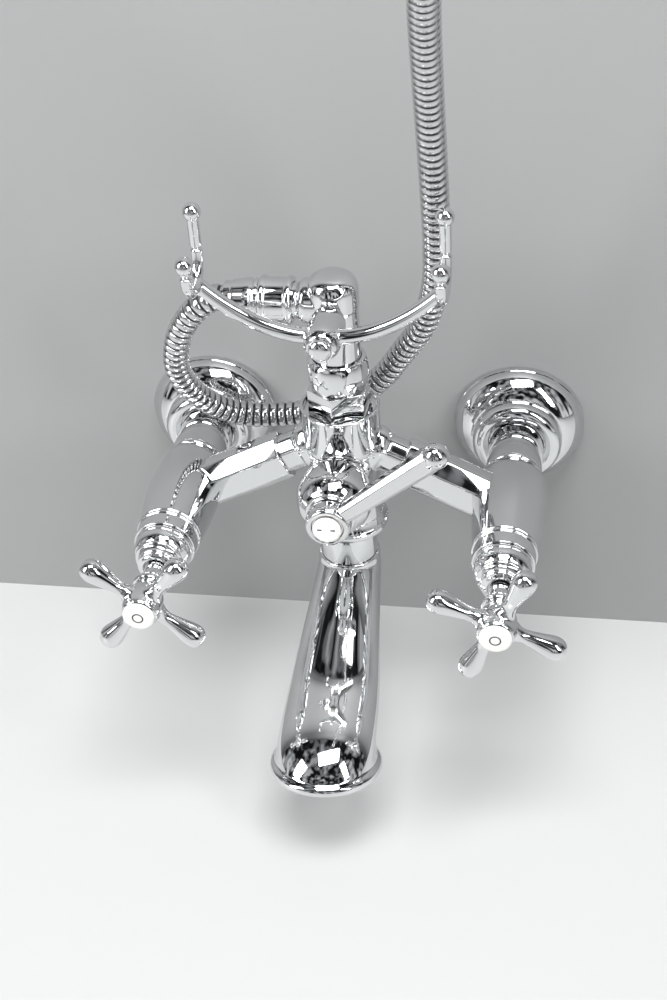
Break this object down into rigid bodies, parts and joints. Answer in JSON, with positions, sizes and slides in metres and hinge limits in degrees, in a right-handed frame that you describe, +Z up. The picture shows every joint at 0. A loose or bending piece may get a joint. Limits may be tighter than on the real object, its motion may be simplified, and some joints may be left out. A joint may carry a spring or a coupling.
{
  "type": "wall mounted bath faucet",
  "caption": "Wall mounted bath and shower mixer in chrome, with cross handles, a lever diverter, a swivel spout, a handset cradle over the column and a corrugated metal hose.",
  "frame": {"origin": "on the finished wall, midway between the two inlets", "axes": "+Z up, +Y into the wall, +X to the right of someone who faces the wall"},
  "size_m": [0.2546, 0.2387, 0.4616],
  "materials": {
    "chrome": "polished chrome plate on brass",
    "hose_metal": "chromed double-lock steel strip, bright",
    "brass": "as machined",
    "steel": "stainless steel screw",
    "rubber": "moulded black rubber",
    "white_plastic": "glossy moulded white"
  },
  "bodies": {
    "mixer": {"wall_union_left": "brass", "wall_union_right": "brass", "union_washer_left": "rubber", "union_washer_right": "rubber", "union_nut_left": "chrome", "union_nut_right": "chrome", "wall_flange_left": "chrome", "wall_flange_right": "chrome", "valve_body_left": "chrome", "valve_body_right": "chrome", "cartridge_left": "brass", "cartridge_right": "brass", "bonnet_left": "chrome", "bonnet_right": "chrome", "centre_body": "chrome", "riser_bush": "chrome", "column_nut": "chrome", "riser_elbow": "chrome", "outlet_nut": "chrome", "hose_washer": "rubber", "hose_cone": "chrome", "hose": "hose_metal", "hose_end_nut": "chrome", "handset_cradle": "chrome", "cradle_screw": "chrome", "diverter_bonnet": "chrome"},
    "left_handle": {"spindle_left": "chrome", "cross_handle_left": "chrome", "handle_screw_left": "steel", "handle_button_left": "white_plastic"},
    "right_handle": {"spindle_right": "chrome", "cross_handle_right": "chrome", "handle_screw_right": "steel", "handle_button_right": "white_plastic"},
    "diverter": {"diverter_spindle": "chrome", "diverter_lever": "chrome", "lever_screw": "steel", "lever_button": "white_plastic"},
    "spout": {"spout_swivel": "chrome", "spout_seal": "rubber", "spout": "chrome", "aerator_plate": "chrome", "aerator": "white_plastic"}
  },
  "joints": [
    {"name": "left_handle_turn", "type": "hinge", "parent": "mixer", "child": "left_handle", "pos_m": [-0.09, -0.176, 0], "axis": [0, -1, 0], "range_deg": [0, 90]},
    {"name": "right_handle_turn", "type": "hinge", "parent": "mixer", "child": "right_handle", "pos_m": [0.09, -0.176, 0], "axis": [0, -1, 0], "range_deg": [-90, 0]},
    {"name": "diverter_turn", "type": "hinge", "parent": "mixer", "child": "diverter", "pos_m": [0, -0.13, 0.022], "axis": [0, -1, 0], "range_deg": [0, 90]},
    {"name": "spout_swing", "type": "hinge", "parent": "mixer", "child": "spout", "pos_m": [0, -0.077, -0.04], "axis": [0, 0, 1], "range_deg": [-75, 75]}
  ]
}
